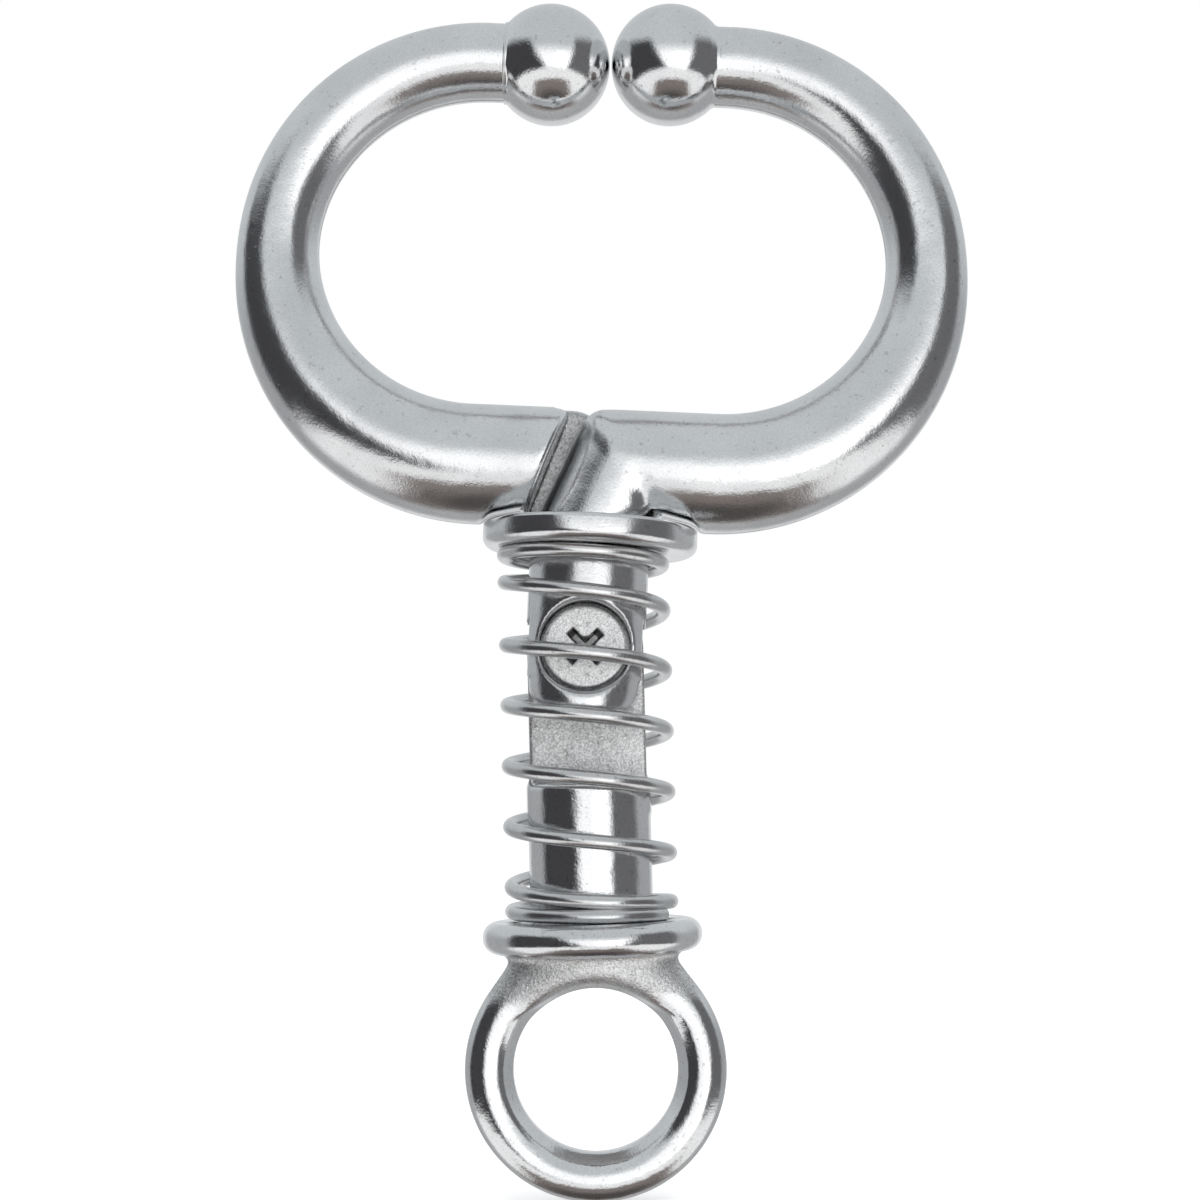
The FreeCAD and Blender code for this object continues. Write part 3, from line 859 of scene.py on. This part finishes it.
def scratch_group():
    """Fine hairlines that run one way, broken up by patches."""
    inputs = [("Coordinates", "Vector"), ("Stretch", "Vector")]
    tree, entry, leave = new_group("hairlines", "ShaderNodeTree", inputs, [("Lines", "Float")])
    stretched = tree.nodes.new("ShaderNodeVectorMath")
    stretched.operation = "MULTIPLY"
    tree.links.new(entry["Coordinates"], stretched.inputs[0])
    tree.links.new(entry["Stretch"], stretched.inputs[1])
    lines = ramp(tree, noise(tree, stretched.outputs[0], 1, 3, 0.6), 0.55, 0.72)
    patches = ramp(tree, noise(tree, entry["Coordinates"], 140, 2), 0.42, 0.62)
    tree.links.new(math_node(tree, "MULTIPLY", lines, patches), leave.inputs["Lines"])
    return tree


LINE_DEPTH = 0.05
LINE_ROUGHNESS = 0.06
BUMP_DEPTH = 0.12


def steel(name, groups, looks, stretch, second_name=None, second_looks=None):
    """A steel material. Where the attribute named second_name is 1, the second set of looks takes over."""
    material = bpy.data.materials.new(name)
    material.use_nodes = True
    tree = material.node_tree
    shader = tree.nodes["Principled BSDF"]
    shader.inputs["Metallic"].default_value = 1.0
    where = tree.nodes.new("ShaderNodeTexCoord").outputs["Object"]

    def surface(values):
        node = tree.nodes.new("ShaderNodeGroup")
        node.node_tree = groups["steel"]
        tree.links.new(where, node.inputs["Coordinates"])
        for key, value in values.items():
            node.inputs[key].default_value = value
        return node.outputs

    first = surface(looks)
    colour, rough, height = first["Colour"], first["Roughness"], first["Height"]
    if second_looks:
        reader = tree.nodes.new("ShaderNodeAttribute")
        reader.attribute_name = second_name
        share = reader.outputs["Fac"]
        second = surface(second_looks)
        colour = blend_colour(tree, share, colour, second["Colour"])
        blended = []
        for one, two in ((rough, second["Roughness"]), (height, second["Height"])):
            change = math_node(tree, "SUBTRACT", two, one)
            blended.append(math_node(tree, "MULTIPLY_ADD", share, change, one))
        rough, height = blended
    lines = tree.nodes.new("ShaderNodeGroup")
    lines.node_tree = groups["scratch"]
    tree.links.new(where, lines.inputs["Coordinates"])
    lines.inputs["Stretch"].default_value = stretch
    height = math_node(tree, "MULTIPLY_ADD", lines.outputs["Lines"], -LINE_DEPTH, height)
    rough = math_node(tree, "MULTIPLY_ADD", lines.outputs["Lines"], LINE_ROUGHNESS, rough)
    bump = add_node(tree, "ShaderNodeBump", Strength=0.6, Distance=BUMP_DEPTH * MM, Height=height)
    tree.links.new(colour, shader.inputs["Base Color"])
    tree.links.new(rough, shader.inputs["Roughness"])
    tree.links.new(bump.outputs["Normal"], shader.inputs["Normal"])
    return material


def grey(level, blue=0.0):
    return (level, level + blue / 2, level + blue, 1.0)


def tones(light, dark, sand):
    return {"Light steel": light, "Dark steel": dark, "Sand colour": sand}


def make_materials():
    groups = {"steel": steel_group(), "scratch": scratch_group()}
    polished = {
        **tones(grey(0.79, 0.01), (0.71, 0.715, 0.725, 1.0), grey(0.50)),
        "Smoothest": 0.10,
        "Roughest": 0.22,
        "Pits": 0.5,
        "Grain": 0.9,
        "Ripple": 1.6,
        "Sand": 0.22,
    }
    blasted = {
        **polished,
        **tones(grey(0.60), (0.47, 0.47, 0.475, 1.0), grey(0.86)),
        "Smoothest": 0.38,
        "Roughest": 0.55,
        "Grain": 5.0,
        "Pits": 0.3,
        "Sand": 1.0,
    }
    mirror = {**polished, "Smoothest": 0.06, "Roughest": 0.13, "Grain": 0.6, "Ripple": 1.2}
    satin = {
        **polished,
        **tones(grey(0.72), (0.60, 0.60, 0.605, 1.0), grey(0.50)),
        "Smoothest": 0.15,
        "Roughest": 0.26,
        "Ripple": 0.8,
    }
    bright = {**polished, "Smoothest": 0.05, "Roughest": 0.15, "Ripple": 2.0}
    turned = {**polished, "Roughest": 0.2, "Grain": 0.6}
    head = {**blasted, **tones((0.72, 0.72, 0.71, 1.0), grey(0.68), grey(0.98)), "Grain": 4.0}
    # painted shade: the dark steel that the screw's cross recess gets, standing in for the shade inside it
    recess_painted_shade = {**polished, **tones(grey(0.20), grey(0.12), grey(0.50))}
    machined = {**blasted, **tones(grey(0.46), grey(0.36), grey(0.62))}
    # the last number triple stretches the hairlines: they run along the direction with the least of it
    return {
        "arm": steel("arm_steel_polished", groups, polished, (900, 900, 60), "machined", machined),
        "ball": steel("ball_steel_mirror", groups, mirror, (700, 90, 700)),
        "handle": steel("handle_steel", groups, bright, (120, 900, 900), "blasted", blasted),
        "collar": steel("collar_steel_turned", groups, turned, (120, 120, 2200)),
        "spring": steel("spring_wire_satin", groups, satin, (500, 500, 1600)),
        "screw": steel("screw_steel_matte", groups, head, (500, 900, 500), "recess_painted_shade", recess_painted_shade),
    }


# ------------------------------------------------------------------ camera, light and stage


def aimed(place, target, roll=0.0):
    """A placement at a point that looks at a target along its own -Z, with a roll in radians."""
    direction = (Vector(target) - Vector(place)).normalized()
    turn = direction.to_track_quat("-Z", "Y").to_matrix().to_4x4()
    return Matrix.Translation(place) @ turn @ Matrix.Rotation(roll, 4, "Z")


CAMERA_DISTANCE = 294.5
CAMERA_HEIGHT = 40.0
CAMERA_TILT = math.radians(3.5)
CAMERA_ROLL = math.radians(-1.46)
PICTURE_MIDDLE_X = 2.4
PICTURE_MIDDLE_Z = 70.0
SENSOR = 36.0
LENS = 58.75


def make_camera():
    """In front of the handle, at its spring's height, looking up a little. A small shift does the rest."""
    data = bpy.data.cameras.new("camera")
    data.sensor_width = SENSOR
    data.lens = LENS
    data.clip_start = 0.01
    # the roll turns the picture about the lens's axis, so the shift is turned with it
    middle = math.atan2(PICTURE_MIDDLE_Z - CAMERA_HEIGHT, CAMERA_DISTANCE)
    rise = math.tan(middle - CAMERA_TILT) * LENS / SENSOR
    data.shift_x = rise * math.sin(CAMERA_ROLL)
    data.shift_y = rise * math.cos(CAMERA_ROLL)
    camera = bpy.data.objects.new("camera", data)
    place = Vector((PICTURE_MIDDLE_X, -CAMERA_DISTANCE, CAMERA_HEIGHT)) * MM
    ahead = Vector((0, math.cos(CAMERA_TILT), math.sin(CAMERA_TILT)))
    camera.matrix_world = aimed(place, place + ahead, CAMERA_ROLL)
    bpy.context.scene.collection.objects.link(camera)
    bpy.context.scene.camera = camera


def over_light():
    """A weak lamp overhead that the metal doesn't show as a spot."""
    data = bpy.data.lights.new("over", "AREA")
    data.size = 0.9
    data.energy = 6
    lamp = bpy.data.objects.new("over", data)
    lamp.matrix_world = aimed((0.1, -0.25, 0.85), (0, 0, 0))
    bpy.context.scene.collection.objects.link(lamp)
    lamp.visible_glossy = False


# what the metal reflects
SIDE_WALL = (0.44, 0.45, 0.46)
BACK_WALL = (0.80, 0.81, 0.82)
WINDOW = (1.36, 1.37, 1.38)
WINDOW_CORE = (1.9, 1.9, 1.9)
CEILING = (0.655, 0.685, 0.70)
LEFT_SCREEN = (0.064, 0.064, 0.069)
RIGHT_SCREEN = (0.17, 0.17, 0.175)
LOW_PANEL = (1.05, 1.05, 1.05)
LOW_BACK = (0.50, 0.50, 0.50)
BENCH = (0.25, 0.22, 0.208)
BENCH_NEAR = (0.09, 0.083, 0.08)


def make_studio():
    """The room that the metal reflects, by direction: pale ceiling, bright window in front, dark screens
    at its sides and a dark bench edge under it. The camera itself sees plain white."""
    world = bpy.data.worlds.new("studio")
    bpy.context.scene.world = world
    world.use_nodes = True
    tree = world.node_tree
    background = tree.nodes["Background"]
    sight = tree.nodes.new("ShaderNodeTexCoord").outputs["Generated"]
    right, away, up = add_node(tree, "ShaderNodeSeparateXYZ", Vector=sight).outputs
    toward = math_node(tree, "MULTIPLY", away, -1)
    bearing = math_node(tree, "DEGREES", math_node(tree, "ARCTAN2", right, toward))
    rise = math_node(tree, "DEGREES", math_node(tree, "ARCSINE", up))
    side = math_node(tree, "ABSOLUTE", right)
    # the window widens upwards, so the screens' inner edges lean
    left_edge = math_node(tree, "MULTIPLY_ADD", rise, 0.55, bearing)
    right_edge = math_node(tree, "MULTIPLY_ADD", rise, -0.3, bearing)

    # each coat covers what is under it, where all its edges are passed: (measure, none at, full at)
    screen_top = (rise, 42, 24)
    bench_edges = ((side, 0.62, 0.42), (away, 0.5, 0.32))
    coats = [
        (BACK_WALL, (away, 0.78, 0.92)),
        (WINDOW, (bearing, -70, -50), (bearing, 80, 60)),
        (WINDOW_CORE, (bearing, 2, 16), (bearing, 40, 28), (rise, 12, -4)),
        (CEILING, (rise, -2, 26)),
        (LEFT_SCREEN, (bearing, -104, -90), (left_edge, -15, -31), screen_top),
        (RIGHT_SCREEN, (right_edge, 36, 47), (bearing, 106, 90), screen_top),
        (LOW_PANEL, (rise, -20, -28), (away, 0.45, 0.1)),
        (LOW_BACK, (rise, -30, -60), (away, 0.1, 0.45)),
        (BENCH, (rise, -41, -48), *bench_edges),
        (BENCH_NEAR, (rise, -55, -80), *bench_edges),
    ]
    colour = (*SIDE_WALL, 1.0)
    for coat, *edges in coats:
        share = None
        for value, none_at, full_at in edges:
            edge = ramp(tree, value, none_at, full_at, "SMOOTHSTEP")
            share = edge if share is None else math_node(tree, "MULTIPLY", share, edge)
        colour = blend_colour(tree, share, colour, (*coat, 1.0))
    seen = tree.nodes.new("ShaderNodeLightPath").outputs["Is Camera Ray"]
    colour = blend_colour(tree, seen, colour, (1.0, 1.0, 1.0, 1.0))
    tree.links.new(colour, background.inputs["Color"])
    background.inputs["Strength"].default_value = 1.0


def make_floor():
    """A pale sheet under the piece. It glows a little, so that it is nearly as white as the background."""
    half_width, front, back = 3.0, -2.0, 6.0
    level = handle_low[2] * MM
    mesh = bpy.data.meshes.new("floor")
    corners = [(-half_width, front), (half_width, front), (half_width, back), (-half_width, back)]
    mesh.from_pydata([(x, y, level) for x, y in corners], [], [(0, 1, 2, 3)])
    material = bpy.data.materials.new("pale_floor")
    material.use_nodes = True
    shader = material.node_tree.nodes["Principled BSDF"]
    shader.inputs["Base Color"].default_value = (0.80, 0.80, 0.80, 1.0)
    shader.inputs["Roughness"].default_value = 0.9
    shader.inputs["Emission Color"].default_value = (1.0, 1.0, 1.0, 1.0)
    shader.inputs["Emission Strength"].default_value = 0.52
    mesh.materials.append(material)
    floor = bpy.data.objects.new("floor", mesh)
    bpy.context.scene.collection.objects.link(floor)
    floor.visible_glossy = False


# ------------------------------------------------------------------ putting it together


def dress(piece, body, material, nodes=()):
    """Gives a piece its material, the body it moves with and the CAD nodes it stands for."""
    piece.data.materials.clear()
    piece.data.materials.append(material)
    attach(piece, body)
    if nodes:
        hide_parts(*nodes)


bpy.context.scene.view_settings.view_transform = "Standard"
make_camera()
make_studio()
make_floor()
over_light()
looks = make_materials()

dress(make_handle(), "handle", looks["handle"], ["handle"])
# the left arm is the right one turned round, with its ball a little lower instead of higher
ahead = Matrix.Identity(4)
right_bow = make_arm("right_bow", ahead, True, TIP_RISE)
left_bow = make_arm("left_bow", half_turn, False, -TIP_RISE)
right_tip = make_ball("right_ball_tip", ahead, False, TIP_RISE)
left_tip = make_ball("left_ball_tip", half_turn, True, -TIP_RISE)
dress(right_bow, "right_jaw", looks["arm"], ["right_arm"])
dress(left_bow, "left_jaw", looks["arm"], ["left_arm"])
dress(right_tip, "right_jaw", looks["ball"], ["right_ball"])
dress(left_tip, "left_jaw", looks["ball"], ["left_ball"])
dress(make_screw(), "pivot", looks["screw"], ["pivot_screw"])
dress(make_collar(), "collar", looks["collar"], ["collar"])

coils, top_coil, meets_at = make_spring(looks["spring"])
dress(coils, "handle", looks["spring"], ["spring"])
dress(top_coil, "collar", looks["spring"])
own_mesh(coils)
